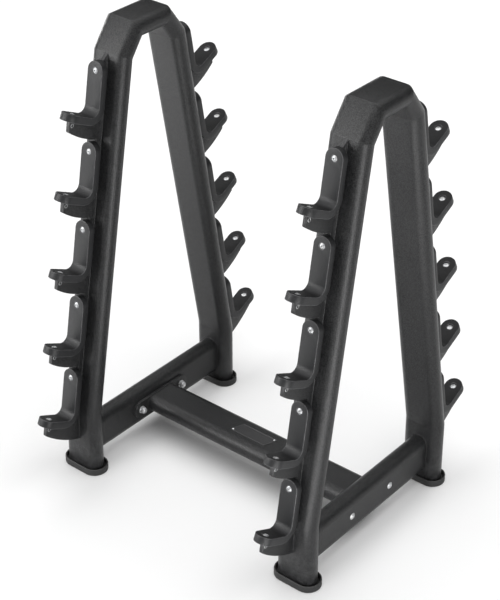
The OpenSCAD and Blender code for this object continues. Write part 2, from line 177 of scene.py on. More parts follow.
def mouldedPlasticFinish():  # bars slide sideways over the cradles and leave marks; the tops of the tongues are also painted darker, as painted shade, and the edges carry a painted highlight
    look = {"dark": (0.0085, 0.0087, 0.0092), "light": (0.015, 0.0153, 0.0162), "cloudScale": 14.0,
            "paintedTopShade": (0.003, 0.003, 0.0033), "paintedTopShadeShare": 0.75, "scuffAndEdgeSheen": (0.085, 0.085, 0.0875),
            "pebbleScale": 700.0, "pebbleHigh": 0.0005, "dragScale": 30, "dragStretch": (0.5, 14, 14),
            "dragBand": (0.56, 0.72), "dragShare": 0.1, "dragHigh": 0.0002, "chipScale": 90,
            "chipBand": (0.42, 0.6, 0.4, 0.85), "rough": 0.42, "cloudRough": 0.14, "rubbedRough": 0.3,
            "edgeGloss": 0.06, "specular": 0.24}
    made, wire, place = startFinish("mouldedPlastic")
    cloud = grainOf(place, look["cloudScale"], 3)
    pebble = wire.node("ShaderNodeTexVoronoi", {"feature": "SMOOTH_F1"},
                       {"Vector": place, "Scale": look["pebbleScale"]})
    edge, cradle = markOf(wire, "wear"), markOf(wire, "cradle")
    drag = grainOf(place, look["dragScale"], 4, 0.75, look["dragStretch"])
    # edges lightened all along: partly chips, partly a painted highlight along the rounded edges; the scuff
    # colour carries these and the real drag scuffs
    edgeChipsAndSheen = ramp(grainOf(place, look["chipScale"], 3), *look["chipBand"])
    scuffAndEdgeSheen = cradle * ramp(drag, *look["dragBand"]) * look["dragShare"] + edge * edgeChipsAndSheen
    normal = bumped(pebble, look["pebbleHigh"], 0.7, bumped(drag, look["dragHigh"], 0.12))
    tone = blendTones(cloud, look["dark"], look["light"])
    # painted shade: the tops of the tongues made darker
    tone = blendTones(cradle * look["paintedTopShadeShare"], tone, look["paintedTopShade"])
    rough = look["rough"] + (cloud - 0.5) * look["cloudRough"] + cradle * look["rubbedRough"]
    return endFinish(made, wire, {"Base Color": blendTones(scuffAndEdgeSheen, tone, look["scuffAndEdgeSheen"]), "Normal": normal,
                                  "Roughness": rough - edge * look["edgeGloss"],
                                  "Specular IOR Level": look["specular"]})


def rubberFinish():
    look = {"dark": (0.0095, 0.0095, 0.01), "light": (0.02, 0.02, 0.02), "cloudScale": 40, "gritScale": 1100,
            "gritHigh": 0.0002, "dust": (0.11, 0.105, 0.098), "dustTop": 0.005, "dustBand": (0.4, 0.65),
            "dustShare": 0.5, "chipBand": (0.4, 0.6), "chipShare": 0.12, "rough": 0.68, "cloudRough": 0.2}
    made, wire, place = startFinish("rubber")
    cloud = grainOf(place, look["cloudScale"], 4, 0.6)
    grit = grainOf(place, look["gritScale"], 2)
    height = wire.node("ShaderNodeSeparateXYZ", None, {"Vector": place}, out=2)
    dust = ramp(height, 0.0, look["dustTop"], 1, 0) * ramp(cloud, *look["dustBand"]) * look["dustShare"]
    dust = dust + markOf(wire, "wear") * ramp(grit, *look["chipBand"]) * look["chipShare"]
    tone = blendTones(dust, blendTones(cloud, look["dark"], look["light"]), look["dust"])
    rough = look["rough"] + (cloud - 0.5) * look["cloudRough"]
    return endFinish(made, wire, {"Base Color": tone, "Roughness": rough,
                                  "Normal": bumped(grit, look["gritHigh"], 0.5)})


def zincFinish(name, bright, dull, warm):
    look = {"cloudScale": 160, "cloudBand": (0.35, 0.7), "scratchScale": 500, "scratchStretch": (1, 1, 6),
            "scratchHigh": 0.00012, "tintScale": 45, "tintBand": (0.5, 0.75), "tintShare": 0.3,
            "rough": 0.5, "cloudRough": 0.25, "edgeRough": 0.06}
    made, wire, place = startFinish(name)
    cloud = grainOf(place, look["cloudScale"], 3, 0.6)
    scratch = grainOf(place, look["scratchScale"], 3, 0.7, look["scratchStretch"])
    tint = ramp(grainOf(place, look["tintScale"], 2), *look["tintBand"]) * look["tintShare"]  # passivated
    tone = blendTones(tint, blendTones(ramp(cloud, *look["cloudBand"]), bright, dull), warm)
    rough = look["rough"] + (cloud - 0.5) * look["cloudRough"] + markOf(wire, "wear") * look["edgeRough"]
    return endFinish(made, wire, {"Base Color": tone, "Metallic": 1.0, "Roughness": rough,
                                  "Normal": bumped(scratch, look["scratchHigh"], 0.35)})


def badgeFinish():
    look = {"enamel": (0.006, 0.006, 0.0065), "haze": (0.014, 0.014, 0.015), "cloudScale": 60,
            "rim": (0.05, 0.05, 0.052), "rimShare": 0.8, "hairScale": 90, "hairStretch": (0.4, 12, 1),
            "hairBand": (0.5, 0.75), "hairRough": 0.14, "hairHigh": 0.00005, "rough": 0.42,
            "coat": 0.08, "coatRough": 0.25}
    made, wire, place = startFinish("badgeEnamel")
    cloud = grainOf(place, look["cloudScale"], 3)
    hairline = grainOf(place, look["hairScale"], 3, 0.7, look["hairStretch"])
    tone = blendTones(cloud, look["enamel"], look["haze"])
    tone = blendTones(markOf(wire, "wear") * look["rimShare"], tone, look["rim"])
    rough = look["rough"] + ramp(hairline, *look["hairBand"]) * look["hairRough"]
    return endFinish(made, wire, {"Base Color": tone, "Roughness": rough,
                                  "Normal": bumped(hairline, look["hairHigh"], 0.25),
                                  "Coat Weight": look["coat"], "Coat Roughness": look["coatRough"]})


powderCoat = powderCoatFinish()
mouldedPlastic = mouldedPlasticFinish()
rubber = rubberFinish()
# the fasteners have three tones of the same zinc, because the photograph shows some of them brighter; they are
# lit and shaded copies of one zinc, painted light and shade
zincLitCopy = zincFinish("zincLitCopy", (0.7, 0.705, 0.71), (0.52, 0.53, 0.545), (0.62, 0.595, 0.53))
zincShadedCopy = zincFinish("zincShadedCopy", (0.41, 0.414, 0.418), (0.29, 0.297, 0.307), (0.37, 0.353, 0.315))
zincHalfShadedCopy = zincFinish("zincHalfShadedCopy", (0.52, 0.524, 0.528), (0.38, 0.387, 0.4), (0.46, 0.44, 0.4))
badgeEnamel = badgeFinish()
print("finishes ready")


# meshes from rings

class Shell:
    def __init__(self):
        self.points, self.faces, self.marks = [], [], {}

    def ring(self, points):
        first = len(self.points)
        self.points += [tuple(p) for p in points]
        return list(range(first, len(self.points)))

    def bridge(self, a, b):  # closed band between two rings of the same length
        for i in range(len(a)):
            j = (i + 1) % len(a)
            self.faces.append((a[i], a[j], b[j], b[i]))

    def stack(self, rings):  # bands from ring to ring, and a face on each end
        for a, b in zip(rings, rings[1:]):
            self.bridge(a, b)
        self.faces += [tuple(rings[0]), tuple(rings[-1])]

    def mesh(self, name, mark=None, sharp=38.0):
        made = bpy.data.meshes.new(name)
        made.from_pydata(self.points, [], self.faces)
        if mark:
            values = [self.marks[i] for i in range(len(self.points))]
            made.attributes.new(mark, "FLOAT", "POINT").data.foreach_set("value", values)
        return tidied(made, sharp)


def tidied(mesh, sharp):  # faces outwards, smooth, with the convex edges marked; this mark gives edge wear and, on powder coat and plastic, a painted edge highlight
    convexFrom, convexTo = 17, 28  # degrees between faces: unmarked below the first, fully marked from the second on
    work = bmesh.new()
    work.from_mesh(mesh)
    bmesh.ops.recalc_face_normals(work, faces=work.faces)
    wear = [0.0] * len(work.verts)
    for edge in work.edges:
        if len(edge.link_faces) == 2:
            angle = math.degrees(edge.calc_face_angle_signed(0))
            share = min(max((angle - convexFrom) / (convexTo - convexFrom), 0), 1)
            for vert in edge.verts:
                wear[vert.index] = max(wear[vert.index], share)
    work.to_mesh(mesh)
    work.free()
    layer = mesh.attributes.get("wear") or mesh.attributes.new("wear", "FLOAT", "POINT")
    layer.data.foreach_set("value", wear)
    mesh.shade_smooth()
    mesh.set_sharp_from_angle(angle=math.radians(sharp))
    return mesh


def newPiece(name, mesh, finish=None):
    made = bpy.data.objects.new(name, mesh)
    bpy.context.scene.collection.objects.link(made)
    if finish:
        mesh.materials.clear()
        mesh.materials.append(finish)
    return made


def settled(thing, name, finish):  # the evaluated object as a plain mesh of its own
    bpy.context.view_layer.update()
    graph = bpy.context.evaluated_depsgraph_get()
    evaluated = thing.evaluated_get(graph)
    mesh = bpy.data.meshes.new_from_object(evaluated, preserve_all_data_layers=True, depsgraph=graph)
    thing.modifiers.clear()
    bpy.data.objects.remove(thing)
    return newPiece(name, mesh, finish)


def standsFor(piece, slot, *nodes):
    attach(piece, "root")
    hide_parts(*nodes)


def ovalRing(wide, thick, grow, steps):  # flat oval in its own plane, long side first
    reach, radius = (wide - thick) / 2, thick / 2 + grow
    turns = [math.pi * (i / steps - 0.5) for i in range(steps + 1)]
    right = [(reach + radius * math.cos(a), radius * math.sin(a)) for a in turns]
    return right + [(-x, -y) for x, y in right]


def circleRing(radius, steps):
    turns = [2 * math.pi * i / steps for i in range(steps)]
    return [(radius * math.cos(a), radius * math.sin(a)) for a in turns]


def hexRing(across, steps):  # the same number of points, drawn in to a hexagon
    made = []
    for i in range(steps):
        a = 2 * math.pi * i / steps
        r = across / 2 / math.cos((a + math.pi / 6) % (math.pi / 3) - math.pi / 6)
        made.append((r * math.cos(a), r * math.sin(a)))
    return made


def rounding(grow, level, radius, start, steps=3):  # quarter of a circle as (grow, level) pairs
    turns = [start + math.pi / 2 * i / steps for i in range(steps + 1)]
    return [(grow + radius * math.cos(a), level + radius * math.sin(a)) for a in turns]


def domeAt(r, radius, high):  # how high a dome of this radius and height stands at r from its axis
    domeR = (radius * radius + high * high) / (2 * high)
    return high - domeR + math.sqrt(domeR * domeR - r * r)


# node trees for what repeats

def newTree(name, inputs):
    tree = bpy.data.node_groups.new(name, "GeometryNodeTree")
    tree.interface.new_socket("Geometry", in_out="OUTPUT", socket_type="NodeSocketGeometry")
    ids = {}
    for label, kind in {"Geometry": "Geometry", **inputs}.items():
        socket = tree.interface.new_socket(label, in_out="INPUT", socket_type="NodeSocket" + kind)
        ids[label] = socket.identifier
    group = tree.nodes.new("NodeGroupInput")
    return tree, ids, {label: Wire(tree, group.outputs[label]) for label in ids}, Wire(tree)


def endTree(wire, geometry, finish):
    real = wire.node("GeometryNodeRealizeInstances", None, {"Geometry": geometry})
    painted = wire.node("GeometryNodeSetMaterial", None, {"Geometry": real, "Material": finish})
    wire.node("NodeGroupOutput", None, {0: painted})


def joined(wire, *parts):
    return wire.node("GeometryNodeJoinGeometry", None, {0: list(parts)})


def moved(wire, geometry, place=None, turn=None):
    sockets = {"Geometry": geometry}
    if place is not None:
        sockets["Translation"] = place
    if turn is not None:
        sockets["Rotation"] = turn
    return wire.node("GeometryNodeTransform", None, sockets)


def buildRowTree():  # a row of one piece, on one side or both, and the same again turned half round the rack
    tree, ids, get, wire = newTree("rackRows", {
        "Piece": "Object", "Count": "Int", "First": "Vector", "Step": "Vector", "Turn": "Rotation",
        "Place": "Vector", "Other side": "Vector", "Both sides": "Bool", "Finish": "Material"})
    piece = wire.node("GeometryNodeObjectInfo", None, {"Object": get["Piece"]}).other("Geometry")
    line = wire.node("GeometryNodeMeshLine", {"mode": "OFFSET"},
                     {"Count": get["Count"], "Start Location": get["First"], "Offset": get["Step"]})
    copies = wire.node("GeometryNodeInstanceOnPoints", None, {"Points": line, "Instance": piece})
    row = moved(wire, copies, get["Place"], get["Turn"])
    pair = joined(wire, row, moved(wire, row, get["Other side"]))
    half = wire.node("GeometryNodeSwitch", {"input_type": "GEOMETRY"},
                     {"Switch": get["Both sides"], "False": row, "True": pair})
    endTree(wire, joined(wire, half, moved(wire, half, turn=(0, 0, math.pi))), get["Finish"])
    return tree, ids


def buildBeadTree():  # a rippled weld bead along each edge of a wire mesh
    tree, ids, get, wire = newTree("weldBead", {
        "Radius": "Float", "Ripple": "Float", "Swell": "Float", "Seed": "Int", "Finish": "Material"})
    bead = {"stepsPerRipple": 4, "roundSteps": 8, "jitter": 0.5}
    curve = wire.node("GeometryNodeMeshToCurve", None, {"Mesh": get["Geometry"]})
    curve = wire.node("GeometryNodeResampleCurve", {"mode": "LENGTH"},
                      {"Curve": curve, "Length": get["Ripple"] * (1 / bead["stepsPerRipple"])})
    along = wire.node("GeometryNodeSplineParameter").other("Length")
    phase = wire.maths("DIVIDE", along * (2 * math.pi), get["Ripple"])
    wave = wire.node("ShaderNodeMath", {"operation": "SINE"}, {0: phase})
    jitter = wire.node("FunctionNodeRandomValue", {"data_type": "FLOAT"},
                       {"Min_001": -bead["jitter"], "Max_001": bead["jitter"], "Seed": get["Seed"]}, out=1)
    radius = get["Radius"] * (1 + get["Swell"] * (wave + jitter))
    ring = wire.node("GeometryNodeCurvePrimitiveCircle", None,
                     {"Resolution": bead["roundSteps"], "Radius": 1.0})
    tube = wire.node("GeometryNodeCurveToMesh", None,
                     {"Curve": curve, "Profile Curve": ring, "Scale": radius, "Fill Caps": True})
    endTree(wire, wire.node("GeometryNodeSetShadeSmooth", None, {"Geometry": tube}), get["Finish"])
    return tree, ids


rowTree, rowIds = buildRowTree()
beadTree, beadIds = buildBeadTree()
legRow = {"Count": rack["hooks"], "First": (0, 0, -rack["hookFirst"]), "Step": (0, 0, -rack["hookStep"]),
          "Turn": Euler((legTilt, 0, 0)), "Place": legFlat + Vector((rack["spacing"] / 2, 0, 0)),
          "Other side": (-rack["spacing"], 0, 0), "Both sides": True}
plainRow = {"Step": (0, 0, 0), "Turn": Euler((0, 0, 0)), "Place": (0, 0, 0), "Other side": (0, 0, 0),
            "Both sides": False}
boltRow = {**plainRow, "Count": 2, "First": (0, -rack["boltY"], 0), "Step": (0, 2 * rack["boltY"], 0),
           "Place": (rack["spacing"] / 2, 0, rack["beamZ"])}


def rows(name, unit, row, finish, slot, *nodes):  # repeats one piece over the rack, as one mesh
    holder = newPiece(name + "Rows", bpy.data.meshes.new(name + "Rows"))
    nest = holder.modifiers.new("rows", "NODES")
    nest.node_group = rowTree
    for label, value in {"Piece": unit, "Finish": finish, **row}.items():
        nest[rowIds[label]] = value
    piece = settled(holder, name, finish)
    bpy.data.objects.remove(unit)
    standsFor(piece, slot, *nodes)


# tube frames

def buildTubeFrame(side):
    skin = {"arcSteps": 24, "seam": 0.0014, "seamSteps": 2, "seamFrom": math.radians(8.6), "sharp": 50}
    half = [(rack["footY"], rack["soleZ"]), (rack["footY"], rack["ankleZ"]),
            (rack["shoulderY"], rack["shoulderZ"]), (rack["cornerY"], rack["height"] - halfTube)]
    path = [Vector((-y, z)) for y, z in half] + [Vector(p) for p in reversed(half)]
    oval = ovalRing(rack["tubeWide"], rack["tubeThick"], 0, skin["arcSteps"])
    shell, rings = Shell(), []
    for i, p in enumerate(path):
        before = (p - path[i - 1]).normalized() if i else (path[1] - p).normalized()
        after = (path[i + 1] - p).normalized() if i + 1 < len(path) else before
        mean = (before + after).normalized()
        reach = 1 / mean.dot(before)  # a mitre is longer than the tube is thick
        out = Vector((-mean.y, mean.x)) * reach
        rings.append(shell.ring([(centreX(side) + x, p.x + t * out.x, p.y + t * out.y) for x, t in oval]))
    shell.stack(rings)
    draft = newPiece(side + "TubeDraft", shell.mesh(side + "TubeDraft"))
    seam = draft.modifiers.new("seam", "BEVEL")
    seam.limit_method, seam.angle_limit = "ANGLE", skin["seamFrom"]
    seam.width, seam.segments, seam.use_clamp_overlap = skin["seam"], skin["seamSteps"], False
    piece = settled(draft, side + "_tube_frame", powderCoat)
    tidied(piece.data, skin["sharp"])
    runs = [f"{side}_{end}_{run}" for end in ends for run in ("foot_tube", "leg_tube", "shoulder_tube")]
    standsFor(piece, "powder_coat", f"{side}_top_tube", *runs)


for side in sides:
    buildTubeFrame(side)
for name in ("left_crossbar", "right_crossbar", "spreader_beam"):
    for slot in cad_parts[name].material_slots:
        slot.material = powderCoat
print("tube frames ready")


# plates with rounded edges

def outlineOf(node):  # the side view of a plate that lies across X, as a ring of (y, z)
    shortest = 0.0003  # points closer together than this count as one
    work = bmesh.new()
    work.from_mesh(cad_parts[node].data.copy())
    bmesh.ops.remove_doubles(work, verts=work.verts, dist=1e-6)
    after = {}
    for edge in work.edges:  # only the rim of the flat that faces +X
        if len(edge.link_faces) == 2 and sum(face.normal.x > 0.9 for face in edge.link_faces) == 1:
            for vert in edge.verts:
                after.setdefault(vert, []).append(edge.other_vert(vert))
    loops = []
    while after:
        loop = [min(after, key=lambda v: (round(v.co.z, 6), round(v.co.y, 6)))]
        while True:
            ahead = [v for v in after.pop(loop[-1]) if v in after]
            if not ahead:
                break
            loop.append(ahead[0])
        loops.append([(v.co.y, v.co.z) for v in loop])
    work.free()
    found = max(loops, key=len)
    kept = [p for i, p in enumerate(found) if math.dist(p, found[i - 1]) > shortest]
    area = sum(p[0] * q[1] - q[0] * p[1] for p, q in zip(kept, kept[1:] + kept[:1]))
    return kept if area > 0 else kept[::-1]


def drawnIn(ring, inset):
    tightest = 0.25  # keeps a very sharp corner from being drawn in too far
    made = []
    for i, p in enumerate(ring):
        a, b = Vector(p) - Vector(ring[i - 1]), Vector(ring[(i + 1) % len(ring)]) - Vector(p)
        n1, n2 = Vector((-a.y, a.x)).normalized(), Vector((-b.y, b.x)).normalized()
        shift = (n1 + n2) / max(1 + n1.dot(n2), tightest)
        made.append((p[0] + shift.x * inset, p[1] + shift.y * inset))
    return made


def buildToothedPlate(side, end):
    plate = {"half": rack["plateHalf"], "edge": 0.0009, "sharp": 40}
    node = f"{side}_{end}_hook_plate"
    ring = outlineOf(node)
    profile = rounding(-plate["edge"], plate["half"] - plate["edge"], plate["edge"], 0)
    profile = [(grow, -level) for grow, level in reversed(profile)] + profile
    shell = Shell()
    shell.stack([shell.ring([(centreX(side) + x, y, z) for y, z in drawnIn(ring, -grow)])
                 for grow, x in profile])
    piece = newPiece(f"{side}_{end}_toothed_plate", shell.mesh(node, sharp=plate["sharp"]), powderCoat)
    standsFor(piece, "powder_coat", node)


def buildBeamPlate(side):
    plate = {"wide": 0.236, "high": 0.056, "thick": 0.008, "edge": 0.001, "arcSteps": 24}
    name = f"{side}_beam_plate"
    inner = rack["spacing"] / 2 - halfTube
    shell, rings = Shell(), []
    for grow, level in [(0, 0)] + rounding(-plate["edge"], plate["thick"] - plate["edge"], plate["edge"], 0):
        oval = ovalRing(plate["wide"], plate["high"], grow, plate["arcSteps"])
        rings.append(shell.ring([(sides[side] * (inner - level), x, rack["beamZ"] + y) for x, y in oval]))
    shell.stack(rings)
    standsFor(newPiece(name, shell.mesh(name), powderCoat), "powder_coat", f"{side}_end_plate")


for side in sides:
    for end in ends:
        buildToothedPlate(side, end)
    buildBeamPlate(side)
print("plates ready")


# rubber feet

def buildFoot(side, end):
    foot = {"grow": 0.012, "high": 0.0205, "rim": 0.004, "edge": 0.0014, "base": 0.0008, "baseSteps": 2,
            "inEdge": 0.0006, "overlap": 0.002, "arcSteps": 24}
    name = f"{side}_{end}_rubber_foot"
    centreY = -rack["footY"] if end == "front" else rack["footY"]
    inner = foot["grow"] - foot["rim"]
    profile = rounding(foot["grow"] - foot["base"], foot["base"], foot["base"], -math.pi / 2, foot["baseSteps"])
    profile += [(foot["grow"], foot["high"] * 0.5)]
    profile += rounding(foot["grow"] - foot["edge"], foot["high"] - foot["edge"], foot["edge"], 0)
    profile += [(inner + foot["inEdge"], foot["high"]), (inner, foot["high"] - foot["inEdge"])]
    profile += [(inner, rack["soleZ"]), (-foot["overlap"], rack["soleZ"])]
    shell, rings = Shell(), []
    for grow, z in profile:
        oval = ovalRing(rack["tubeWide"], rack["tubeThick"], grow, foot["arcSteps"])
        rings.append(shell.ring([(centreX(side) + x, centreY + y, z) for x, y in oval]))
    shell.stack(rings)
    standsFor(newPiece(name, shell.mesh(name), rubber), "rubber", f"{side}_{end}_foot")


for side in sides:
    for end in ends:
        buildFoot(side, end)
print("feet ready")


# hooks: a straight blank with rounded edges, bent to the J

def buildHook():
    hook = {"wide": 0.055, "thick": 0.022, "edge": 0.0015, "strapN": 0.041, "depth": 0.1315, "reach": 0.083,
            "rise": math.radians(16), "bendR": 0.022, "boreR": 0.0045, "seatR": 0.0093, "strapSeat": 0.0015,
            "tongueSeat": 0.0028, "lip": 0.0004, "calm": 0.002, "arcSteps": 24, "bendSteps": 22,
            "cross": 0.0135, "acrossSteps": 10, "strapStations": [0.03, 0.055, 0.08],
            "cradleSlope": 2.4, "cradleStart": 1.3, "cradleDeep": 0.7, "sharp": 40}
    rise, thick, bendR, edge, cross = hook["rise"], hook["thick"], hook["bendR"], hook["edge"], hook["cross"]
    turn = math.pi / 2 + rise
    tangent = bendR * math.tan(turn / 2)
    bendU = hook["depth"] - tangent
    bendRun = turn * (bendR + thick / 2)
    screwS = bendU + bendRun + hook["reach"] - tangent

    def bent(s, x, t):  # s along the blank from the strap screw, x across, t into its thickness
        if s <= bendU:
            return (x, hook["strapN"] - t, -s)
        if s <= bendU + bendRun:
            a, r = (s - bendU) / bendRun * turn, bendR + t
            return (x, hook["strapN"] + bendR - r * math.cos(a), -bendU - r * math.sin(a))
        a = tangent + s - bendU - bendRun
        return (x, hook["strapN"] + a * math.cos(rise) + t * math.sin(rise),
                -hook["depth"] + a * math.sin(rise) - t * math.cos(rise))

    near = [cross / 3, cross * 2 / 3, cross]  # stations beside a hole, out to the first strip across
    bend = [bendU + bendRun * i / hook["bendSteps"] for i in range(hook["bendSteps"] + 1)]
    tongue = [bend[-1] + (screwS - cross - bend[-1]) / 2] + [screwS - v for v in reversed(near)]
    stations = near + hook["strapStations"] + bend + tongue
    arc = [math.pi * i / hook["arcSteps"] for i in range(hook["arcSteps"] + 1)]
    flatR = hook["wide"] / 2 - edge  # half the width of the flat between the rounded edges
    inner = [-flatR + 2 * flatR * i / hook["acrossSteps"] for i in range(1, hook["acrossSteps"])]
    count, n, k = len(stations), len(arc), len(near)
    shell = Shell()

    def cradleMark(s, t):  # the top of the tongue, from the second half of the bend on; this mark carries the drag scuffs and a painted shade
        onTop = t < edge * hook["cradleDeep"]
        return min(max((s - bendU) / bendRun * hook["cradleSlope"] - hook["cradleStart"], 0), 1) if onTop else 0.0

    def addRing(points):
        ring = shell.ring([bent(*p) for p in points])
        for i, (s, _, t) in zip(ring, points):
            shell.marks[i] = cradleMark(s, t)
        return ring

    def outline(inset, t):
        r = hook["wide"] / 2 - inset
        points = [(-r * math.sin(a), r * math.cos(a), t) for a in arc] + [(s, -r, t) for s in stations]
        points += [(screwS + r * math.sin(a), -r * math.cos(a), t) for a in arc]
        return addRing(points + [(s, r, t) for s in reversed(stations)])

    quarter = [math.pi / 2, math.pi / 3, math.pi / 6, 0]
    profile = [(edge - edge * math.cos(a), edge - edge * math.sin(a)) for a in quarter]
    profile += [(inset, thick - depth) for inset, depth in reversed(profile)]
    rings = [outline(inset, t) for inset, t in profile]
    for a, b in zip(rings, rings[1:]):
        shell.bridge(a, b)

    def face(ring, t, strapHole, tongueHole):  # strips across the blank, and a ring of quads round each hole
        left, right = ring[n:n + count], ring[2 * n + count:][::-1]
        acrossTop = addRing([(cross, x, t) for x in inner])
        acrossTip = addRing([(screwS - cross, x, t) for x in inner])
        shell.faces.append((left[k - 1], *acrossTop, right[k - 1], right[k], left[k]))
        for j in range(k, count - k - 1):
            shell.faces.append((left[j], left[j + 1], right[j + 1], right[j]))
        shell.faces.append((left[-k], *acrossTip, right[-k], right[-k - 1], left[-k - 1]))
        top = ring[:n] + left[:k] + acrossTop + right[:k][::-1]
        tip = ring[n + count:2 * n + count] + right[::-1][:k] + acrossTip[::-1] + left[-k:]
        shell.bridge(top, strapHole)
        shell.bridge(tip, tongueHole)

    def angles(atTip):  # the direction of each point of the loop round a hole
        loop = [(flatR * math.sin(a), flatR * math.cos(a)) for a in arc] + [(-v, -flatR) for v in near]
        loop += [(-cross, x) for x in inner] + [(-v, flatR) for v in reversed(near)]
        return [math.atan2(w, -x if atTip else x) for w, x in loop]

    def strapRing(radius, t):
        return addRing([(-radius * math.sin(a), radius * math.cos(a), t) for a in angles(False)])

    def tongueRing(radius, t=None, deep=None):  # round the screw's axis, which stands along the leg
        points = []
        for a in angles(True):
            w = radius * math.sin(a)
            h = deep if t is None else (t - w * math.sin(rise)) / math.cos(rise)
            along, into = w * math.cos(rise) - h * math.sin(rise), h * math.cos(rise) + w * math.sin(rise)
            points.append((screwS + along, radius * math.cos(a), into))
        return addRing(points)

    boreR, seatR, strapSeat, tongueSeat = hook["boreR"], hook["seatR"], hook["strapSeat"], hook["tongueSeat"]
    rim, calm = seatR + hook["lip"], seatR + hook["calm"]  # calm: where the marked rim of a seat ends, the rim that carries edge chips and a painted edge highlight
    strapHole = [strapRing(calm, 0), strapRing(rim, 0), strapRing(seatR, hook["lip"]),
                 strapRing(seatR, strapSeat), strapRing(boreR, strapSeat), strapRing(boreR, thick)]
    tongueHole = [tongueRing(calm, t=0), tongueRing(rim, t=0), tongueRing(seatR, deep=tongueSeat),
                  tongueRing(boreR, deep=tongueSeat), tongueRing(boreR, t=thick)]
    face(rings[0], 0, strapHole[0], tongueHole[0])
    face(rings[-1], thick, strapHole[-1], tongueHole[-1])
    for hole in (strapHole, tongueHole):
        for a, b in zip(hole, hole[1:]):
            shell.bridge(a, b)
    unit = newPiece("hookUnit", shell.mesh("hookUnit", "cradle", hook["sharp"]))
    nodes = [f"{side}_{end}_hook_{i + 1}" for side in sides for end in ends for i in range(rack["hooks"])]
    rows("j_hooks", unit, legRow, mouldedPlastic, "moulded_plastic", *nodes)
    return hook


hook = buildHook()
print("hooks ready")


# screws, nuts and washers

def turned(name, profile, steps, sharp, matrix=Matrix()):  # rings of (kind, size, level), kind circle or hex
    shell, rings = Shell(), []
    for kind, size, level in profile:
        ring = circleRing(size, steps) if kind == "circle" else hexRing(size, steps)
        rings.append(shell.ring([matrix @ Vector((x, y, level)) for x, y in ring]))
    shell.stack(rings)
    return newPiece(name, shell.mesh(name, sharp=sharp))


fastener = {"steps": 36, "sharp": 45, "alongX": Matrix.Rotation(math.pi / 2, 4, "Y")}


def buttonScrew(name, size, matrix):
    form = {"tip": 0.0008, "neck": 0.0001, "under": 0.0002, "rim": 0.0004,
            "dome": (0.985, 0.93, 0.84, 0.72, 0.58), "mouth": 0.66, "mouthDeep": 0.0003,
            "floor": 0.25, "point": 0.12}
    shank, head, high, socket = size["shank"] / 2, size["head"] / 2, size["high"], size["socket"]
    start, groove = -size["long"] + form["tip"], size["pitch"] * 0.5
    profile = [("circle", shank - form["tip"], -size["long"]), ("circle", shank, start)]
    for i in range(size["threads"]):  # the visible end of the thread, as grooves
        level = start + size["pitch"] * (i + 0.5)
        profile += [("circle", shank - groove, level), ("circle", shank, level + groove)]
    profile += [("circle", shank, -form["neck"]), ("circle", head - form["under"], 0),
                ("circle", head, form["rim"])]
    profile += [("circle", head * share, domeAt(head * share, head, high)) for share in form["dome"]]
    mouthR = socket * form["mouth"]
    mouthZ = domeAt(mouthR, head, high)
    profile += [("circle", mouthR, mouthZ), ("hex", socket, mouthZ - form["mouthDeep"])]
    profile += [("hex", socket, high * form["floor"]), ("circle", socket * form["point"], high * form["point"])]
    return turned(name, profile, fastener["steps"], fastener["sharp"], matrix)


def buildHookScrews():
    size = {"shank": 0.008, "head": 0.0175, "high": 0.0033, "socket": 0.005, "long": 0.034,
            "threads": 0, "pitch": 0.00125}
    barrel = {"d": 0.012, "half": 0.007, "drop": 0.0108, "dimple": 0.0082, "deep": 0.0058, "cone": 0.0008,
              "coneShare": 0.55, "mouth": 0.0003, "edge": 0.0006, "soft": 0.0002}
    rise = hook["rise"]
    tongueN = hook["strapN"] + hook["reach"] * math.cos(rise)
    tongueZ = hook["reach"] * math.sin(rise) - hook["depth"]
    seat = Matrix.Translation((0, hook["strapN"] - hook["strapSeat"], 0))
    # the strap and tongue screws are one screw in two zinc tones: painted shade, darkest on the straps and
    # barrel nuts
    unit = buttonScrew("strapScrew", size, seat @ Matrix.Rotation(-math.pi / 2, 4, "X"))
    rows("strap_screw_set", unit, legRow, zincShadedCopy, "zinc", "strap_screws")
    unit = buttonScrew("tongueScrew", size, Matrix.Translation((0, tongueN, tongueZ - hook["tongueSeat"])))
    rows("tongue_screw_set", unit, legRow, zincHalfShadedCopy, "zinc", "tongue_screws")
    r, dimpleR, half = barrel["d"] / 2, barrel["dimple"] / 2, barrel["half"]
    low = half - barrel["deep"]
    end = [("circle", dimpleR * barrel["coneShare"], low - barrel["cone"]), ("circle", dimpleR, low),
           ("circle", dimpleR, half - barrel["mouth"]), ("circle", dimpleR + barrel["mouth"], half),
           ("circle", r - barrel["edge"], half), ("circle", r - barrel["soft"], half - barrel["soft"]),
           ("circle", r, half - barrel["edge"])]
    profile = end + [(kind, wide, -level) for kind, wide, level in reversed(end)]
    place = Matrix.Translation((0, tongueN, tongueZ - hook["thick"] / math.cos(rise) - barrel["drop"]))
    unit = turned("barrelNut", profile, fastener["steps"], fastener["sharp"], place @ fastener["alongX"])
    rows("barrel_nut_set", unit, legRow, zincShadedCopy, "zinc", "barrel_nuts")


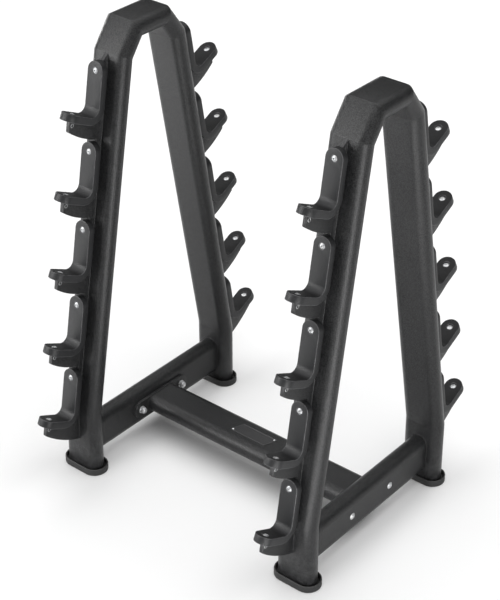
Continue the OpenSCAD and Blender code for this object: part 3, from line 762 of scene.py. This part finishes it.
def buildBeamBolts():
    bolt = {"shank": 0.012, "head": 0.021, "high": 0.0048, "socket": 0.007, "threads": 8, "pitch": 0.00175,
            "plate": 0.008, "past": 0.003}
    washer = {"high": 0.0025, "r": 0.012, "bore": 0.0062, "edge": 0.0003,
              "under": ((0, 0.0004), (0.0002, 0.0001), (0.0005, 0))}
    nut = {"high": 0.0108, "across": 0.018, "bore": 0.0061, "mouth": 0.0068, "mouthDeep": 0.001, "sharp": 30,
           "faceShare": 0.475, "chamferShare": 0.497, "chamferLow": (0.0004, 0.0016),
           "chamferHigh": (0.0001, 0.001)}
    alongX = fastener["alongX"]
    bolt["long"] = rack["tubeThick"] + bolt["plate"] + washer["high"] + nut["high"] + bolt["past"]
    head = alongX @ Matrix.Translation((0, 0, halfTube))
    rows("beam_bolt_set", buttonScrew("beamBolt", bolt, head), boltRow, zincLitCopy, "zinc", "beam_bolts")
    seat = -halfTube - bolt["plate"]
    high = seat - washer["high"]  # where the washer ends and the nut begins
    profile = [("circle", washer["bore"], seat), ("circle", washer["r"] - washer["edge"], seat),
               ("circle", washer["r"], seat - washer["edge"])]
    profile += [("circle", washer["r"] - inset, high + level) for inset, level in washer["under"]]
    profile += [("circle", washer["bore"], high)]
    unit = turned("washer", profile, fastener["steps"], fastener["sharp"], alongX)
    rows("beam_washer_set", unit, boltRow, zincLitCopy, "zinc", "beam_washers")
    low, across = high - nut["high"], nut["across"]
    profile = [("circle", nut["bore"], low + nut["mouthDeep"]), ("circle", nut["mouth"], low),
               ("circle", across * nut["faceShare"], low),
               ("circle", across * nut["chamferShare"], low + nut["chamferLow"][0]),
               ("hex", across, low + nut["chamferLow"][1]), ("hex", across, high - nut["chamferHigh"][1]),
               ("circle", across * nut["chamferShare"], high - nut["chamferHigh"][0]),
               ("circle", nut["bore"], high)]
    unit = turned("nut", profile, fastener["steps"], nut["sharp"], alongX)
    rows("beam_nut_set", unit, boltRow, zincLitCopy, "zinc", "beam_nuts")


buildHookScrews()
buildBeamBolts()
print("fasteners ready")


# badge

def buildBadge():
    badge = {"long": 0.130, "wide": 0.045, "slant": 0.017, "thick": 0.0015, "corner": 0.0025, "cornerSteps": 5,
             "rim": 0.0016, "sunk": 0.0004, "edge": ((0, 0.0004), (0.00012, 0.0001), (0.0004, 0))}
    rivet = {"r": 0.003, "high": 0.0016, "in": 0.0055, "foot": 0.0003, "steps": 24, "sharp": 38,
             "dome": (0.92, 0.78, 0.58, 0.34, 0.1)}
    level = rack["beamZ"] + halfTube
    top, sunk = level + badge["thick"], level + badge["thick"] - badge["sunk"]
    a, b = badge["long"] / 2, badge["wide"] / 2
    corners = [Vector((a + badge["slant"] / 2, b)), Vector((a - badge["slant"] / 2, -b))]
    corners += [-corners[0], -corners[1]]

    def outline(inset):
        made, r = [], badge["corner"] - inset
        for i, p in enumerate(corners):
            u, w = (corners[i - 1] - p).normalized(), (corners[(i + 1) % len(corners)] - p).normalized()
            centre = p + (u + w).normalized() * badge["corner"] / math.sin(math.acos(u.dot(w)) / 2)
            normals = [Vector((-v.y, v.x)) for v in (u, w)]
            first, last = [math.atan2(v.y, v.x) for v in (n if n.dot(p - centre) > 0 else -n for n in normals)]
            turn = (last - first + math.pi) % (2 * math.pi) - math.pi
            turns = [first + turn * k / badge["cornerSteps"] for k in range(badge["cornerSteps"] + 1)]
            made += [(centre.x + r * math.cos(v), centre.y + r * math.sin(v)) for v in turns]
        return made

    shell = Shell()
    profile = [(0, level)] + [(inset, top - below) for inset, below in badge["edge"]]
    profile += [(badge["rim"], top), (badge["rim"] + badge["sunk"], sunk)]
    shell.stack([shell.ring([(x, y, z) for x, y in outline(inset)]) for inset, z in profile])
    standsFor(newPiece("blank_badge", shell.mesh("blank_badge"), badgeEnamel), "badge", "badge_plate")
    along = rivet["in"] * math.hypot(badge["slant"], badge["wide"]) / badge["wide"]
    place = Vector((a - along + badge["slant"] * (0.5 - rivet["in"] / badge["wide"]), b - rivet["in"], 0))
    profile = [("circle", rivet["r"] - rivet["foot"], sunk), ("circle", rivet["r"], top)]
    profile += [("circle", rivet["r"] * share, top + domeAt(rivet["r"] * share, rivet["r"], rivet["high"]))
                for share in rivet["dome"]]
    unit = turned("rivet", profile, rivet["steps"], rivet["sharp"])
    rows("badge_rivet_set", unit, {**plainRow, "Count": 1, "First": place}, zincLitCopy, "zinc", "badge_rivets")


buildBadge()
print("badge ready")


# weld beads

def buildWelds():
    weld = {"Radius": 0.0021, "Ripple": 0.0045, "Swell": 0.07, "Seed": 5, "Finish": powderCoat}  # for the tree
    seams = {"plateTop": -0.003, "legRun": 1.1066, "tail": 0.0925, "beamEnd": 0.3725, "grow": 0.0002,
             "arcSteps": 10}
    points, edges = [], []

    def seam(line, closed=False):
        first = len(points)
        points.extend(line)
        edges.extend((first + i, first + i + 1) for i in range(len(line) - 1))
        if closed:
            edges.append((len(points) - 1, first))

    down, tail = Vector((0, math.sin(legTilt), -math.cos(legTilt))), Vector((0, 0, -seams["tail"]))
    oval = ovalRing(rack["tubeWide"], rack["tubeThick"], seams["grow"], seams["arcSteps"])
    barEnd = rack["footY"] - halfTube
    for turn in (0, math.pi):
        half = Matrix.Rotation(turn, 4, "Z")
        for side in sides:
            for edge in (-rack["plateHalf"], rack["plateHalf"]):
                start = legFlat + Vector((centreX(side) + edge, 0, 0))
                ankle = start + down * seams["legRun"]
                seam([half @ (start + down * seams["plateTop"]), half @ ankle, half @ (ankle + tail)])
        for side in sides:
            seam([half @ Vector((centreX(side) + y, barEnd, rack["beamZ"] + x)) for x, y in oval], True)
        seam([half @ Vector((seams["beamEnd"], x, rack["beamZ"] + y)) for x, y in oval], True)
    mesh = bpy.data.meshes.new("seams")
    mesh.from_pydata([tuple(p) for p in points], edges, [])
    holder = newPiece("seams", mesh)
    nest = holder.modifiers.new("beads", "NODES")
    nest.node_group = beadTree
    for label, value in weld.items():
        nest[beadIds[label]] = value
    beads = settled(holder, "weld_beads", powderCoat)
    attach(beads, "root")
    print("weld faces:", len(beads.data.polygons))


buildWelds()
print("welds ready")


# studio

def buildFloor():
    floor = {"half": 60, "level": -0.0004, "tone": (0.88, 0.88, 0.88), "fade": 0.985, "cloudScale": 1.5,
             "rough": 0.6, "specular": 0.2}
    square = ((-1, -1), (1, -1), (1, 1), (-1, 1))
    corners = [(x * floor["half"], y * floor["half"], floor["level"]) for x, y in square]
    mesh = bpy.data.meshes.new("floor")
    mesh.from_pydata(corners, [], [(0, 1, 2, 3)])
    made, wire, place = startFinish("paleFloor")
    faded = tuple(v * floor["fade"] for v in floor["tone"])
    tone = blendTones(grainOf(place, floor["cloudScale"], 2), faded, floor["tone"])
    finish = endFinish(made, wire, {"Base Color": tone, "Roughness": floor["rough"],
                                    "Specular IOR Level": floor["specular"]})
    piece = newPiece("floor", mesh, finish)
    return piece


def buildDome():  # a dome of light, brighter overhead
    dome = {"tone": (1.0, 1.0, 1.0), "low": 0.14, "high": 2.45, "from": 0.55, "to": 0.86}
    world = bpy.data.worlds.new("studio")
    bpy.context.scene.world = world
    world.use_nodes = True
    world.node_tree.nodes.clear()
    air = Wire(world.node_tree)
    height = air.node("ShaderNodeSeparateXYZ", None, {"Vector": air.node("ShaderNodeTexCoord")}, out=2)
    strength = ramp(height, dome["from"], dome["to"], dome["low"], dome["high"])
    glow = air.node("ShaderNodeBackground", None, {"Color": (*dome["tone"], 1), "Strength": strength})
    air.node("ShaderNodeOutputWorld", None, {"Surface": glow})


def buildLamps(floor):
    lamps = {  # place, the way it faces, width, height, turn about that way, watts
        "leftFront": ((-2.6, -3.2, 3.2), (2.6, 3.2, -2.3), 2.8, 2.6, 0, 140.0),
        "lowFront": ((-2.3, -3.0, 1.5), (2.3, 3.0, -1.2), 1.8, 1.2, 0, 80.0),
        "leftSide": ((-4.2, 0.9, 1.3), (4.2, -0.9, -0.6), 0.6, 2.4, 0, 40.0),
        "rightStrip": ((3.2, -2.0, 0.75), (-3.2, 2.0, -0.25), 0.6, 1.5, 0, 75.0),
        # the last three lie on the floor and face up, as reflector boards would
        "bounceFront": ((-1.65, -1.65, 0.01), (0, 0, 1), 2.0, 2.0, 0, 28.0),
        "bounceLeftLeg": ((1.16, -1.13, 0.01), (0, 0, 1), 1.7, 0.36, -26.8, 19.0),
        "bounceRightLeg": ((1.96, -1.12, 0.01), (0, 0, 1), 1.7, 0.36, -26.8, 17.0),
    }
    unlit = bpy.data.collections.new("floorUnlitByLamps")  # the dome alone lights the floor
    unlit.objects.link(floor)
    unlit.collection_objects[0].light_linking.link_state = "EXCLUDE"
    for name, (spot, way, width, height, turn, watts) in lamps.items():
        lamp = bpy.data.lights.new(name, "AREA")
        lamp.shape, lamp.size, lamp.size_y, lamp.energy = "RECTANGLE", width, height, watts
        holder = bpy.data.objects.new(name, lamp)
        bpy.context.scene.collection.objects.link(holder)
        holder.light_linking.receiver_collection = unlit
        holder.visible_camera = False
        if way[:2] == (0, 0):
            facing = Matrix.Rotation(math.pi, 3, "X")
        else:
            facing = Vector(way).to_track_quat("-Z", "Y").to_matrix()
        facing = Matrix.Rotation(math.radians(turn), 3, way) @ facing
        holder.matrix_world = Matrix.Translation(spot) @ facing.to_4x4()


def buildCamera():
    view = {"place": (2.6602, -3.2176, 3.2309), "azimuth": 0.69316, "elevation": 0.52702, "roll": 0.00238,
            "lens": 103.712, "sensor": 36, "shiftY": -0.1, "clip": (0.1, 100)}
    az, el, roll = view["azimuth"], view["elevation"], view["roll"]
    ahead = Vector((-math.sin(az) * math.cos(el), math.cos(az) * math.cos(el), -math.sin(el)))
    right = Vector((math.cos(az), math.sin(az), 0))
    down = ahead.cross(right)
    right, down = right * math.cos(roll) + down * math.sin(roll), down * math.cos(roll) - right * math.sin(roll)
    camera = bpy.data.cameras.new("camera")
    camera.lens, camera.sensor_width, camera.shift_y = view["lens"], view["sensor"], view["shiftY"]
    camera.clip_start, camera.clip_end = view["clip"]
    holder = bpy.data.objects.new("camera", camera)
    bpy.context.scene.collection.objects.link(holder)
    turn = Matrix((right, -down, -ahead)).transposed()
    holder.matrix_world = Matrix.Translation(view["place"]) @ turn.to_4x4()
    bpy.context.scene.camera = holder


floor = buildFloor()
buildDome()
buildLamps(floor)
buildCamera()
bpy.context.scene.view_settings.view_transform = "Standard"
print("studio ready")
